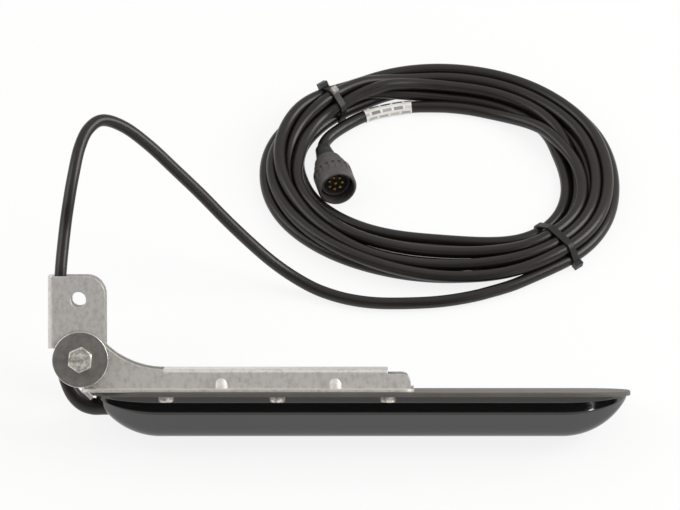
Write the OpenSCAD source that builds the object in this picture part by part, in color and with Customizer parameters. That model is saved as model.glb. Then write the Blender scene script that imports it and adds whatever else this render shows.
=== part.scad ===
// Transom-mount sonar transducer with its tilt bracket, lead, coiled cable and connector.
// The pieces are drawn upright (x aft along the hull, y to starboard, z up from the keel) and then
// laid over on the starboard bilge, as the loose product comes to rest on a table.

/* [Hull and lid] */
// Length of the lid, the longest part of the housing
lid_l = 263; // [240:1:290]
// Half width of the lid, which overhangs the hull
lid_half_w = 29; // [28:0.5:32]
// Thickness of the lid
lid_t = 2.2; // [1.8:0.1:3]
// Corner radius of the lid in plan
lid_corner_r = 24; // [18:1:27]
// Depth of the hull from keel to lid
hull_depth = 20; // [19:0.5:22]
// Half width of the hull at the top of its sloping side
hull_half_w = 17.4; // [16:0.2:17.6]
// Height where the sloping side meets the steep band
band_z = 12.4; // [11:0.2:14]
// Slope of the hull's side from the vertical, in degrees
flank_deg = 25; // [20:1:32]
// Bilge radius between the side and the keel
bilge_r = 8; // [6:0.5:9]
// Radius of the rising keel at both ends
stem_r = 36; // [34:1:44]
// Length of the rounded ends in plan
nose_l = 27; // [22:1:32]
// Wall of the hull
hull_wall = 2.6; // [2:0.1:3]

/* [Rail bracket] */
// Sheet of the rail bracket
rail_t = 1.5; // [1.2:0.1:2]
// Half width over the rail's walls
rail_half_w = 17.5; // [16.5:0.5:19]
// Height of the rail's top above the keel
rail_top_z = 33.2; // [31:0.2:36]
// Where the rail's top web ends
web_end_x = 144.4; // [130:0.2:150]
// Where the rail's walls end
wall_end_x = 155.6; // [152:0.2:160]
// Half width over the feet
foot_half_w = 28; // [27:0.5:28.5]
// Distance between the bracket screws
screw_pitch = 54; // [48:1:58]
// First bracket screw from the lid's end
screw_x = 36.6; // [30:0.2:40]
// Distance of the bracket screws from the centre plane
screw_y = 22.6; // [22.4:0.1:23]

/* [Transom bracket] */
// Sheet of the transom bracket
transom_t = 2; // [1.5:0.1:2.5]
// Face that bears on the transom
transom_x = -21.2; // [-24:0.2:-21]
// Front edge of the ears
ear_front_x = 6.8; // [5:0.2:9]
// Top of the bracket
ear_top_z = 78.5; // [72:0.5:84]
// Lower edge of the back plate
plate_low_z = 43.4; // [42:0.2:46]
// Radius of the ears' upper corner
ear_corner_r = 9.5; // [6:0.5:11]
// Diameter of the spare hole in the ears
ear_hole_d = 7.5; // [5:0.5:9]
// Diameter of the transom screw holes
transom_hole_d = 5.5; // [4.5:0.5:6.5]
// Side of the square of transom screw holes
transom_square = 20; // [16:1:20]

/* [Pivot] */
// Pivot's place along the hull
pivot_x = -5.4; // [-6:0.1:-5]
// Pivot's height above the keel
pivot_z = 37.9; // [37.6:0.1:39]
// Pivot bolt, a quarter inch
bolt_d = 6.35; // [6:0.05:6.4]
// Hex across flats, seven sixteenths of an inch
hex_af = 11.1; // [10:0.1:12]
// Large flat washers under head and nut
washer_d = 27.3; // [22:0.1:27.5]

/* [Cable and connector] */
// Cable diameter
cable_d = 6; // [5.6:0.1:6.2]
// Half length of the oval coil, over its turns
coil_r = 87.5; // [87:0.5:89]
// Half width of the oval coil, over its turns
coil_b = 77.8; // [77.4:0.2:79]
// Half width of the bundle of turns where it spreads out
coil_half_w = 16.5; // [15:0.5:17]
// Half width of the bundle of turns where they are stacked
coil_stack_w = 9.5; // [8.5:0.1:9.7]
// Outside diameter of the locking collar
collar_d = 19.5; // [18.5:0.5:20.5]

/* [Hidden] */
$fn = 64;

black = "#1b1a19";
rubber = "#262423";
grey = "#5c5650";
steel = "#b4aea6";
bright = "#d8d4cc";

// Bilge and flank of the hull's midship section
flank_run = (band_z - bilge_r * (1 - sin(flank_deg))) * tan(flank_deg);
bilge_y = hull_half_w - flank_run - bilge_r * cos(flank_deg);
lip_y = hull_half_w + 0.8;
hull_x0 = 2;
hull_x1 = lid_l - 2;
stem_run = sqrt(pow(stem_r, 2) - pow(stem_r - hull_depth + 1.5, 2));

// Inner flank of the hull, where the side-looking bars lie
in_share = (lip_y - hull_wall) / lip_y;
in_rise = (hull_depth - hull_wall) / hull_depth;
flank_low = [(bilge_y + bilge_r * cos(flank_deg)) * in_share, hull_wall + bilge_r * (1 - sin(flank_deg)) * in_rise];
flank_in_deg = atan2(hull_half_w * in_share - flank_low.x, hull_wall + band_z * in_rise - flank_low.y);
bar_x = 60;
bar_t = 2.4;
bar_h = 6;
bar_gap = 0.3;
downscan_h = 3;
block_half_w = 6;
sensor_x = 48;
sensor_d = 4;
sensor_h = 6;

// Resting attitude: the floor touches the lid's lower edge and the starboard bilge
rest_a = lid_half_w - bilge_y;
rest_b = hull_depth - bilge_r;
lay_angle = asin(bilge_r / norm([rest_a, rest_b])) + atan2(rest_b, rest_a);
lift = lid_half_w * sin(lay_angle) - hull_depth * cos(lay_angle);

// Sheet positions across the pivot
lid_top = hull_depth + lid_t;
foot_top = lid_top + rail_t;
ear_in = rail_half_w + 1;
ear_out = ear_in + transom_t;
washer_in = ear_out + 0.1;
washer_t = 1.8;
washer_out = washer_in + washer_t;
head_h = 4.5;
nut_h = 7.5;
bolt_end = washer_out + nut_h + 0.7;
ear_r = ear_front_x - pivot_x;
rise_x = 35;
rise_r = 41;
screw_head_d = 7.8;
transom_mid_z = (ear_top_z + plate_low_z) / 2;
ear_hole_x = -6.3;
ear_hole_drop = 11.4;

// Box of the housing and brackets, whose bottom centre is the origin
mid_x = (transom_x + lid_l) / 2;
low_y = bilge_r * (sin(lay_angle) - 1) - bilge_y * cos(lay_angle);
high_y = ear_out * cos(lay_angle) + ear_top_z * sin(lay_angle);
mid_y = (low_y + high_y) / 2;

// Cable: upright points from the gland to the top of the bracket, then points on the table
cable_r = cable_d / 2;
table_z = cable_r + 0.4;
gland_z = 14.4;
gland_l = 9.5;
lead_upright = [[11.9, 0, gland_z], [6, 0, gland_z], [0.5, 0, gland_z], [-4.5, 0, 16], [-9, 0, 20],
    [-12.3, 0, 26], [-14.5, 0, 33], [-15.4, 0, 40], [-15.5, 0, 52], [-15.4, 0, 66], [-15.4, 0, 80]];
lead_on_table = [[-134.4, 44, 73], [-132.4, 55.6, 82], [-130.3, 66.3, 88.5], [-127.5, 80.1, 93],
    [-123.2, 91.4, 94.5], [-116.2, 98.7, 93], [-105.5, 99.8, 86.5], [-93.3, 96.5, 76.5], [-81.1, 92.4, 64],
    [-68.9, 88.4, 51], [-54.2, 82.7, 35], [-39.4, 77.7, 20], [-28.5, 73.7, 11.5], [-17.1, 69, 6],
    [-7.2, 65.1, table_z + 0.2], [5.2, 60.7, table_z], [20, 58.4, table_z], [39.8, 58.7, table_z],
    [54.7, 60.5, table_z], [69.6, 64.6, table_z], [83.5, 72.5, table_z]];
coil_x = 48.8;
coil_y = 141.5;
coil_h = 13;
tie_w = 4.6;
tie_t = 1.2;
right_tie_deg = -37;
left_tie_deg = 135;
boot_r = cable_r + 1;
boot_l = 12;
collar_r = collar_d / 2;
collar_z = 23;
collar_end = 36.5;
body_r = collar_r - 1.6;
socket_r = collar_r - 1.5;
sleeve_r = collar_r - 2.45;
sleeve_end = 31;
insert_r = sleeve_r - 1.15;
insert_z = 24.5;
insert_h = 4;
connector_yaw = 12;
connector_tilt = atan2(collar_r - boot_r, collar_z);
connector_at = [-8.2, 161, boot_r * cos(connector_tilt)];
tail_on_table = [[72, 197, table_z], [61, 194, table_z], [49, 191.4, table_z], [36, 188.6, table_z],
    [24, 185.4, table_z], [12.5, 181.4, table_z], [3, 176.8, table_z], [-3.8, 171.3, table_z],
    [-7.4, 166, table_z], connector_at, connector_at + 8 * connector_dir()];

function connector_dir() = [sin(connector_yaw) * cos(connector_tilt),
    -cos(connector_yaw) * cos(connector_tilt), sin(connector_tilt)];
function laid(p) = [p.x - mid_x, p.y * cos(lay_angle) + p.z * sin(lay_angle) - mid_y,
    p.z * cos(lay_angle) - p.y * sin(lay_angle) + lift];

// Upright pieces are laid over by this module
module lay() {
    translate([-mid_x, -mid_y, lift]) rotate([-lay_angle, 0, 0]) children();
}

// Puts a drawing of x and z on its side and extrudes it across the hull from y0 to y1
module across(y0, y1) {
    translate([0, y1, 0]) rotate([90, 0, 0]) linear_extrude(y1 - y0) children();
}

// Extrudes a drawing of y and z along the hull from x0 to x1
module along(x0, x1) {
    translate([x0, 0, 0]) rotate([90, 0, 90]) linear_extrude(x1 - x0) children();
}

// Turns a solid of revolution's axis to starboard at the pivot
module at_pivot(y) {
    translate([pivot_x, y, pivot_z]) rotate([-90, 0, 0]) children();
}

module both_sides() {
    for (side = [0, 1]) mirror([0, side, 0]) children();
}

module disc_ring(d, hole_d, t) {
    difference() {
        cylinder(d = d, h = t);
        translate([0, 0, -1]) cylinder(d = hole_d, h = t + 2);
    }
}

// Cosine spacing puts more stations at the rounded ends
function station(i, n, x0, x1) = (x0 + x1) / 2 - (x1 - x0) / 2 * cos(180 * i / n);
function end_dist(x) = min(x - hull_x0, hull_x1 - x);
function beam_share(x) = end_dist(x) >= nose_l ? 1 : sqrt(1 - pow((nose_l - end_dist(x)) / nose_l * 0.985, 2));
function keel_rise(x) = end_dist(x) >= stem_run ? 0
    : stem_r - sqrt(pow(stem_r, 2) - pow(stem_run - end_dist(x), 2));

// Half of the midship section, from the keel to the rim under the lid
half_section = concat([[0, 0]],
    [for (a = [-90:13:-flank_deg]) [bilge_y + bilge_r * cos(a), bilge_r + bilge_r * sin(a)]],
    [[hull_half_w, band_z], [hull_half_w + 0.1, hull_depth - 2.8], [lip_y, hull_depth - 2.4],
    [lip_y, hull_depth]]);
section_n = len(half_section);
function full_section() = concat([for (i = [section_n - 1:-1:1]) [-half_section[i].x, half_section[i].y]],
    half_section);

// One ring of the hull's loft: the section narrowed to the beam and lifted to the keel
function ring(x, inset) = let (
    rise = min(keel_rise(x) + inset, hull_depth - 1),
    share = (beam_share(x) * lip_y - inset) / lip_y)
    [for (p = full_section()) [x, p.x * share, rise + p.y * (hull_depth - rise) / hull_depth]];

// Quads between ring i and the next, for rings of m points that start at the given index
function skin(start, rings, m, flip) = [for (i = [0:rings - 2], j = [0:m - 2])
    let (a = start + i * m + j, b = a + m)
    flip ? [a, a + 1, b + 1, b] : [a, b, b + 1, a + 1]];

module hull_loft() {
    m = 2 * section_n - 1;
    n = 30;
    inner = n * m;
    in_x0 = hull_x0 + 6.5;
    in_x1 = hull_x1 - 6.5;
    points = concat([for (i = [0:n - 1]) each ring(station(i, n - 1, hull_x0, hull_x1), 0)],
        [for (i = [0:n - 1]) each ring(station(i, n - 1, in_x0, in_x1), hull_wall)]);
    rims = [for (i = [0:n - 2], j = [0, m - 1]) let (a = i * m + j, b = a + m)
        j == 0 ? [a, inner + a, inner + b, b] : [b, inner + b, inner + a, a]];
    last = (n - 1) * m;
    caps = [[for (j = [0:m - 1]) j], [for (j = [m - 1:-1:0]) last + j],
        [for (j = [m - 1:-1:0]) inner + j], [for (j = [0:m - 1]) inner + last + j],
        [0, m - 1, inner + m - 1, inner], [last, inner + last, inner + last + m - 1, last + m - 1]];
    polyhedron(points, concat(skin(0, n, m, false), skin(inner, n, m, true), rims, caps), convexity = 6);
}

module hull_shell() {
    color(black) lay() difference() {
        hull_loft();
        translate([-10, 0, gland_z]) rotate([0, 90, 0]) cylinder(r = boot_r, h = 30);
    }
}

module lid_outline() {
    r = lid_corner_r;
    translate([0, r - lid_half_w]) square([lid_l, 2 * (lid_half_w - r)]);
    translate([r, -lid_half_w]) square([lid_l - 2 * r, 2 * lid_half_w]);
    for (x = [r, lid_l - r], y = [r - lid_half_w, lid_half_w - r]) translate([x, y]) circle(r);
}

module at_screws() {
    for (i = [0:2]) translate([screw_x + i * screw_pitch, screw_y, 0]) children();
}

module lid() {
    color(grey) lay() difference() {
        translate([0, 0, hull_depth]) linear_extrude(lid_t) lid_outline();
        both_sides() at_screws() translate([0, 0, hull_depth - 1]) cylinder(d = 4.4, h = lid_t + 2);
    }
}

// Piezo-ceramic bars: one looks down and one to each side, along the hull's inner flank
module sidescan_bar(side) {
    color("#c9c2b4") lay() mirror([0, side, 0]) translate([bar_x, -flank_low.x, flank_low.y])
        rotate([flank_in_deg, 0, 0]) translate([0, bar_gap, bar_gap]) cube([lid_l - 2 * bar_x, bar_t, bar_h]);
}

module port_sidescan_bar() { sidescan_bar(0); }
module starboard_sidescan_bar() { sidescan_bar(1); }

module downscan_bar() {
    color("#c9c2b4") lay() translate([bar_x, -2, hull_wall]) cube([lid_l - 2 * bar_x, 4, downscan_h]);
}

module backing_block() {
    z0 = hull_wall + downscan_h;
    color("#8a7f6a") lay() translate([bar_x, -block_half_w, z0])
        cube([lid_l - 2 * bar_x, 2 * block_half_w, hull_depth - z0]);
}

module temperature_sensor() {
    color("#a87a4a") lay() translate([sensor_x, 0, hull_wall + bar_gap])
        cylinder(d = sensor_d, h = sensor_h);
}

module cable_gland() {
    color(rubber) lay() translate([12, 0, gland_z]) rotate([0, -90, 0]) disc_ring(2 * boot_r, cable_d, gland_l);
}

// Side outline of the rail's walls: pivot ear, curved rise and straight wall
module rail_wall_outline() {
    end_r = 4;
    wall_top = rail_top_z - 2.4;
    difference() {
        union() {
            translate([pivot_x, pivot_z]) circle(ear_r);
            polygon([[pivot_x, pivot_z + ear_r], [rise_x, rail_top_z + 14], [rise_x, lid_top],
                [pivot_x + ear_r, lid_top], [pivot_x, pivot_z - ear_r]]);
        }
        translate([rise_x, rail_top_z + rise_r]) circle(rise_r, $fn = 128);
    }
    translate([rise_x - 1, lid_top]) square([web_end_x - rise_x + 1, wall_top - lid_top]);
    translate([web_end_x - 1, lid_top]) square([wall_end_x - web_end_x + 1, wall_top - lid_top - end_r]);
    translate([web_end_x - 1, lid_top]) square([wall_end_x - web_end_x + 1 - end_r, wall_top - lid_top]);
    translate([wall_end_x - end_r, wall_top - end_r]) circle(end_r);
}

// Folded top of the rail: flat web with rounded bends down to the walls
module rail_web_profile() {
    bend_r = rail_t + 0.5;
    difference() {
        union() {
            translate([-rail_half_w, rail_top_z - 8]) square([2 * rail_half_w, 8 - bend_r]);
            translate([bend_r - rail_half_w, rail_top_z - 8]) square([2 * (rail_half_w - bend_r), 8]);
            for (side = [-1, 1]) translate([side * (rail_half_w - bend_r), rail_top_z - bend_r]) circle(bend_r);
        }
        translate([rail_t - rail_half_w, rail_top_z - 9])
            square([2 * (rail_half_w - rail_t), 9 - bend_r]);
        translate([bend_r - rail_half_w, rail_top_z - 9]) square([2 * (rail_half_w - bend_r), 9 - rail_t]);
        for (side = [-1, 1]) translate([side * (rail_half_w - bend_r), rail_top_z - bend_r])
            circle(bend_r - rail_t);
    }
}

// Plan outline of one foot, with rounded outer corners
module foot_outline() {
    r = 5;
    x0 = -4.5;
    x1 = wall_end_x + 1.7;
    translate([x0, rail_half_w - rail_t]) square([x1 - x0, foot_half_w - rail_half_w + rail_t - r]);
    translate([x0 + r, rail_half_w - rail_t]) square([x1 - x0 - 2 * r, foot_half_w - rail_half_w + rail_t]);
    for (x = [x0 + r, x1 - r]) translate([x, foot_half_w - r]) circle(r);
}

// Half-round gusset stamped into the bend between wall and foot
module gusset_dart(x) {
    r = 3;
    intersection() {
        translate([x, rail_half_w + 0.4, foot_top + 0.4]) rotate([45, 0, 0])
            cylinder(r = r, h = 20, center = true);
        translate([x - r, rail_half_w - 0.5, foot_top - 0.5]) cube(2 * r);
    }
}

// Lip folded down and back at the foot's transom end
module foot_lip() {
    translate([0, rail_half_w + 1, foot_top - rail_t / 2]) translate([-3.8, 0, 0]) rotate([0, 45, 0])
        translate([-rail_t / 2, 0, -rail_t / 2]) cube([6.5, 6, rail_t]);
}

module rail_bracket() {
    color(steel) lay() difference() {
        union() {
            both_sides() {
                across(rail_half_w - rail_t, rail_half_w) rail_wall_outline();
                translate([0, 0, lid_top]) linear_extrude(rail_t) foot_outline();
                for (x = [63.2, 118.8]) gusset_dart(x);
                foot_lip();
            }
            along(rise_x, web_end_x) rail_web_profile();
        }
        both_sides() at_screws() translate([0, 0, lid_top - 1]) cylinder(d = 4, h = rail_t + 2);
        at_pivot(-40) cylinder(d = bolt_d + 0.1, h = 80);
    }
}

// Side outline of the transom bracket: square top, round foot about the pivot
module transom_outline() {
    r = ear_corner_r;
    translate([pivot_x, pivot_z]) circle(ear_r);
    translate([transom_x, plate_low_z]) square([ear_front_x - transom_x, ear_top_z - plate_low_z - r]);
    translate([transom_x, plate_low_z]) square([ear_front_x - transom_x - r, ear_top_z - plate_low_z]);
    translate([ear_front_x - r, ear_top_z - r]) circle(r);
    polygon([[transom_x + 3, plate_low_z], [pivot_x - ear_r, pivot_z], [pivot_x + ear_r, pivot_z],
        [ear_front_x, plate_low_z]]);
}

// Plan section of the transom bracket: a channel with rounded bends
module transom_channel() {
    r = 3;
    inner_r = r - transom_t;
    difference() {
        union() {
            translate([transom_x + r, -ear_out]) square([ear_front_x - transom_x, 2 * ear_out]);
            translate([transom_x, r - ear_out]) square([r + 1, 2 * (ear_out - r)]);
            for (side = [-1, 1]) translate([transom_x + r, side * (ear_out - r)]) circle(r);
        }
        translate([transom_x + r, -ear_in]) square([ear_front_x - transom_x + 1, 2 * ear_in]);
        translate([transom_x + transom_t, inner_r - ear_in]) square([r, 2 * (ear_in - inner_r)]);
        for (side = [-1, 1]) translate([transom_x + r, side * (ear_in - inner_r)]) circle(inner_r);
    }
}

module transom_bracket() {
    half = transom_square / 2;
    color(steel) lay() difference() {
        intersection() {
            translate([0, 0, pivot_z - 20]) linear_extrude(ear_top_z) transom_channel();
            across(-30, 30) transom_outline();
        }
        at_pivot(-40) cylinder(d = bolt_d + 0.1, h = 80);
        translate([ear_hole_x, -40, ear_top_z - ear_hole_drop]) rotate([-90, 0, 0])
            cylinder(d = ear_hole_d, h = 80);
        for (y = [-half, half], z = [transom_mid_z - half, transom_mid_z + half])
            translate([transom_x - 5, y, z]) rotate([0, 90, 0]) cylinder(d = transom_hole_d, h = 10);
    }
}

// Hexagon with its corners chamfered on one end
module hex_prism(h) {
    corner_r = hex_af / sqrt(3);
    intersection() {
        cylinder(r = corner_r, h = h, $fn = 6);
        rotate_extrude() polygon([[0, 0], [corner_r + 0.1, 0], [corner_r + 0.1, h - 0.7], [hex_af / 2 - 0.3, h], [0, h]]);
    }
}

module pivot_bolt() {
    color(bright) lay() {
        at_pivot(-washer_out) cylinder(d = bolt_d, h = washer_out + bolt_end);
        at_pivot(-washer_out) rotate([180, 0, 0]) rotate([0, 0, 24]) hex_prism(head_h);
    }
}

module port_washer() {
    color(steel) lay() at_pivot(-washer_out) disc_ring(washer_d, bolt_d + 0.4, washer_t);
}

module starboard_washer() {
    color(steel) lay() at_pivot(washer_in) disc_ring(washer_d, bolt_d + 0.4, washer_t);
}

module friction_washer(y) {
    color("#e8e4d8") lay() at_pivot(y) disc_ring(22, bolt_d + 0.4, 0.9);
}

module port_friction_washer() { friction_washer(-rail_half_w - 0.9); }
module starboard_friction_washer() { friction_washer(rail_half_w); }

module lock_nut() {
    hex_h = nut_h - 2.4;
    color(bright) lay() at_pivot(washer_out) difference() {
        union() {
            hex_prism(hex_h);
            cylinder(d = hex_af - 1, h = nut_h);
        }
        translate([0, 0, -1]) cylinder(d = bolt_d, h = nut_h + 2);
        translate([0, 0, hex_h + 0.4]) cylinder(d = 8.6, h = 1.4);
    }
}

module nut_insert() {
    color("#3f66a8") lay() at_pivot(washer_out + nut_h - 2) disc_ring(8.6, bolt_d, 1.4);
}

// Pan-head screw under the lid, threaded up into the bracket's foot
module bracket_screw(i, side) {
    r = screw_head_d / 2;
    h = 2.9;
    edge_r = 1.4;
    color(bright) lay() mirror([0, side, 0])
        translate([screw_x + i * screw_pitch, -screw_y, hull_depth]) difference() {
            union() {
                cylinder(d = 4, h = lid_t + rail_t);
                rotate([180, 0, 0]) rotate_extrude() {
                    square([r, h - edge_r]);
                    square([r - edge_r, h]);
                    translate([r - edge_r, h - edge_r]) circle(edge_r);
                }
            }
            translate([0, 0, -h - 1]) cylinder(d = 3.2, h = 2.2, $fn = 6);
        }
}

module port_screw_1() { bracket_screw(0, 0); }
module port_screw_2() { bracket_screw(1, 0); }
module port_screw_3() { bracket_screw(2, 0); }
module starboard_screw_1() { bracket_screw(0, 1); }
module starboard_screw_2() { bracket_screw(1, 1); }
module starboard_screw_3() { bracket_screw(2, 1); }

// Smooth curve through the route's points, with extra points between each pair
function curve(p, steps) = let (n = len(p)) concat([for (i = [0:n - 2], k = [0:steps - 1])
    let (t = k / steps, a = p[max(i - 1, 0)], b = p[i], c = p[i + 1], d = p[min(i + 2, n - 1)])
    0.5 * (2 * b + (c - a) * t + (2 * a - 5 * b + 4 * c - d) * t * t + (3 * b - a - 3 * c + d) * t * t * t)],
    [p[n - 1]]);
function unit(v) = v / norm(v);

// Round tube swept along a route, its rings carried along without twist
module tube(route, r, sides) {
    n = len(route);
    tangents = [for (i = [0:n - 1]) unit(route[min(i + 1, n - 1)] - route[max(i - 1, 0)])];
    first = unit(cross(tangents[0], [0.3, 0.9, 0.2]));
    normals = [for (i = 0, v = first; i < n; i = i + 1,
        v = i < n ? unit(v - (v * tangents[i]) * tangents[i]) : v) v];
    points = [for (i = [0:n - 1], k = [0:sides - 1]) let (a = 360 * k / sides)
        route[i] + r * cos(a) * normals[i] + r * sin(a) * cross(tangents[i], normals[i])];
    walls = [for (i = [0:n - 2], k = [0:sides - 1]) let (a = i * sides, b = (k + 1) % sides)
        [a + k, a + sides + k, a + sides + b, a + b]];
    polyhedron(points, concat(walls, [[for (k = [0:sides - 1]) k]],
        [[for (k = [sides - 1:-1:0]) (n - 1) * sides + k]]), convexity = 10);
}

lead_route = curve(concat([for (p = lead_upright) laid(p)], lead_on_table), 3);
tail_route = curve(tail_on_table, 3);

module cable_lead() {
    color(black) tube(lead_route, cable_r, 10);
}

module cable_tail() {
    color(black) tube(tail_route, cable_r, 10);
}

// Oval of the coil: its outer edge, the direction across the turns and the bundle's half width there
function coil_edge(a) = [coil_x + coil_r * cos(a), coil_y + coil_b * sin(a), 0];
function coil_normal(a) = unit([coil_b * cos(a), coil_r * sin(a), 0]);
function coil_half(a) = coil_stack_w + (coil_half_w - coil_stack_w) * pow(sin((a - 160) / 2), 2);
function coil_section(a) = let (r = coil_h / 2) concat(
    [for (t = [-90:30:90]) [r - r * cos(t), r + r * sin(t)]],
    [for (t = [90:-30:-90]) [2 * coil_half(a) - r + r * cos(t), r + r * sin(t)]]);

// Outer shape of the turns that lie in layers on the table
module cable_coil() {
    n = 72;
    m = 14;
    points = [for (i = [0:n - 1]) let (a = 360 * i / n) for (p = coil_section(a))
        coil_edge(a) - p.x * coil_normal(a) + [0, 0, p.y]];
    faces = [for (i = [0:n - 1], k = [0:m - 1]) let (a = i * m, b = ((i + 1) % n) * m, next = (k + 1) % m)
        [a + k, a + next, b + next, b + k]];
    color(black) difference() {
        polyhedron(points, faces, convexity = 10);
        for (a = [left_tie_deg, right_tie_deg]) at_tie(a) translate([-coil_half(a) - 1, -tie_w / 2 - 0.1, -1])
            cube([2 * coil_half(a) + 2, tie_w + 0.2, 1 + tie_t]);
    }
}

module at_tie(a) {
    across_turns = coil_normal(a);
    translate(coil_edge(a) - coil_half(a) * across_turns)
        rotate([0, 0, atan2(across_turns.y, across_turns.x)]) children();
}

// Nylon tie: a flat band round the turns and its locking head
module cable_tie(a) {
    w = coil_half(a) + 0.2;
    color(black) at_tie(a) {
        difference() {
            translate([-w - tie_t, -tie_w / 2, 0]) cube([2 * (w + tie_t), tie_w, coil_h + 0.2 + tie_t]);
            translate([-w, -tie_w, tie_t]) cube([2 * w, 2 * tie_w, coil_h + 0.2 - tie_t]);
        }
        translate([w, -3.5, 1]) cube([tie_t + 4, 7, 5]);
    }
}

module left_cable_tie() { cable_tie(left_tie_deg); }
module right_cable_tie() { cable_tie(right_tie_deg); }

// Bare wrap label round the cable before the connector
module cable_label() {
    color("#f2f0ec") difference() {
        tube(curve([for (i = [3:5]) tail_on_table[i]], 3), cable_r + 0.35, 16);
        tube(tail_route, cable_r, 10);
    }
}

// Connector drawn along its own axis from the cable's entry to its face
module at_connector() {
    translate(connector_at) rotate([90 - connector_tilt, 0, connector_yaw]) children();
}

module connector_boot() {
    color(rubber) at_connector() rotate_extrude() polygon([[cable_r, 0], [boot_r, 0], [boot_r + 0.3, 3],
        [boot_r + 0.3, 3.8], [boot_r, 4.1], [boot_r, 5], [boot_r + 0.7, 5.3], [boot_r + 0.7, 6.8],
        [boot_r + 0.4, 7.1], [boot_r + 0.4, 8], [boot_r + 1.1, 8.3], [boot_r + 1.6, boot_l], [cable_r, boot_l]]);
}

module connector_body() {
    neck_r = body_r - 1.55;
    color(rubber) at_connector() difference() {
        rotate_extrude() polygon([[0, boot_l], [neck_r, boot_l], [neck_r + 0.4, 12.8], [neck_r + 0.4, 15],
            [neck_r, 15.5], [neck_r, 16.6], [body_r, 17.2], [body_r, 22.2], [body_r - 0.5, 22.7],
            [sleeve_r, 22.7], [sleeve_r, sleeve_end], [0, sleeve_end]]);
        translate([0, 0, insert_z]) cylinder(r = insert_r, h = 10);
    }
}

module locking_collar() {
    flutes = 18;
    bore_r = sleeve_r + 0.07;
    step_z = collar_z + 4.5;
    color(rubber) at_connector() difference() {
        rotate_extrude() polygon([[bore_r, collar_z], [collar_r, collar_z], [collar_r, collar_end - 1.2],
            [collar_r - 0.7, collar_end], [socket_r, collar_end], [socket_r, step_z], [bore_r, step_z]]);
        for (i = [0:flutes - 1]) rotate([0, 0, (i + 0.5) * 360 / flutes])
            translate([collar_r + 0.7, 0, collar_z + 2]) cylinder(r = 1.2, h = 6);
    }
}

module seal_ring() {
    color("#8c3a28") at_connector() translate([0, 0, collar_z + 5.2])
        disc_ring(2 * socket_r - 0.6, 2 * sleeve_r, 1.2);
}

// Socket insert with a keyway
module pin_insert() {
    color("#201e1d") at_connector() difference() {
        translate([0, 0, insert_z]) cylinder(r = insert_r, h = insert_h);
        translate([-1, insert_r - 1.5, insert_z + 2]) cube([2, 3, insert_h]);
    }
}

module contact_pins() {
    pin_d = 1.3;
    pin_h = 2.8;
    color("#c8a24a") at_connector() translate([0, 0, insert_z + insert_h]) {
        cylinder(d = pin_d, h = pin_h);
        for (i = [0:6]) rotate([0, 0, i * 360 / 7]) translate([3.4, 0, 0]) cylinder(d = pin_d, h = pin_h);
    }
}

hull_shell();
lid();
port_sidescan_bar();
starboard_sidescan_bar();
downscan_bar();
backing_block();
temperature_sensor();
cable_gland();
rail_bracket();
transom_bracket();
pivot_bolt();
port_washer();
starboard_washer();
port_friction_washer();
starboard_friction_washer();
lock_nut();
nut_insert();
port_screw_1();
port_screw_2();
port_screw_3();
starboard_screw_1();
starboard_screw_2();
starboard_screw_3();
cable_lead();
cable_coil();
cable_tail();
cable_label();
left_cable_tie();
right_cable_tie();
connector_boot();
connector_body();
locking_collar();
seal_ring();
pin_insert();
contact_pins();
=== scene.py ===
"""Looks of a transom-mount sonar transducer that lies on a pale table beside its coiled cable."""

import logging
import math
from collections.abc import Sequence
from dataclasses import dataclass, field
from enum import Enum

import bpy
import numpy as np
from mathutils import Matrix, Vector

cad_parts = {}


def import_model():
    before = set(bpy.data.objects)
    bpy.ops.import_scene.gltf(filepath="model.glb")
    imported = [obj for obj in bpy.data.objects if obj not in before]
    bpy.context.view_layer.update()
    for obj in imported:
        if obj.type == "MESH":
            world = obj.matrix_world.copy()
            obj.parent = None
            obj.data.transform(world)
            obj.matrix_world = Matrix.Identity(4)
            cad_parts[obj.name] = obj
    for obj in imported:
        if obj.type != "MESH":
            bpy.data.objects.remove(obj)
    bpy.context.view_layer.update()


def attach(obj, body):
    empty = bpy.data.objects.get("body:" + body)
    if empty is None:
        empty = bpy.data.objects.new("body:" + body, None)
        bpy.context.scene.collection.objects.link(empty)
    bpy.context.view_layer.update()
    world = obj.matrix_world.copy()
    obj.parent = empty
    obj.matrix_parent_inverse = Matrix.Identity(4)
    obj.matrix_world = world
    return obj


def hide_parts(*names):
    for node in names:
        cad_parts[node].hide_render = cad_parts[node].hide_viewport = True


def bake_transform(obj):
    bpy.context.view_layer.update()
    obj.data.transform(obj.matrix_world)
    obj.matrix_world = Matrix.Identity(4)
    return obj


LOG = logging.getLogger("transducer")
MM = 0.001
BLACK = (0.0, 0.0, 0.0, 1.0)
WHITE = (1.0, 1.0, 1.0, 1.0)


class Body(Enum):
    """Rigid bodies of the part that new pieces ride on."""

    HOUSING = "housing"
    TRANSOM_MOUNT = "transom_mount"


@dataclass(frozen=True)
class HousingSizes:
    """Driving dimensions of the upright hull, lid and bracket, in millimetres, with z up from the keel."""

    lid_l: float = 263.0
    lid_half_w: float = 29.0
    lid_t: float = 2.2
    lid_corner_r: float = 24.0
    hull_depth: float = 20.0
    hull_half_w: float = 17.4
    band_z: float = 12.4
    flank: float = math.radians(25)
    bilge_r: float = 8.0
    stem_r: float = 36.0
    nose_l: float = 27.0
    transom_x: float = -21.2
    ear_top_z: float = 78.5
    ear_half_w: float = 20.5

    @property
    def bilge_y(self) -> float:
        """Gives the distance of the bilge's centre from the centre plane."""
        flank_run = (self.band_z - self.bilge_r * (1 - math.sin(self.flank))) * math.tan(self.flank)
        return self.hull_half_w - flank_run - self.bilge_r * math.cos(self.flank)


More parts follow.
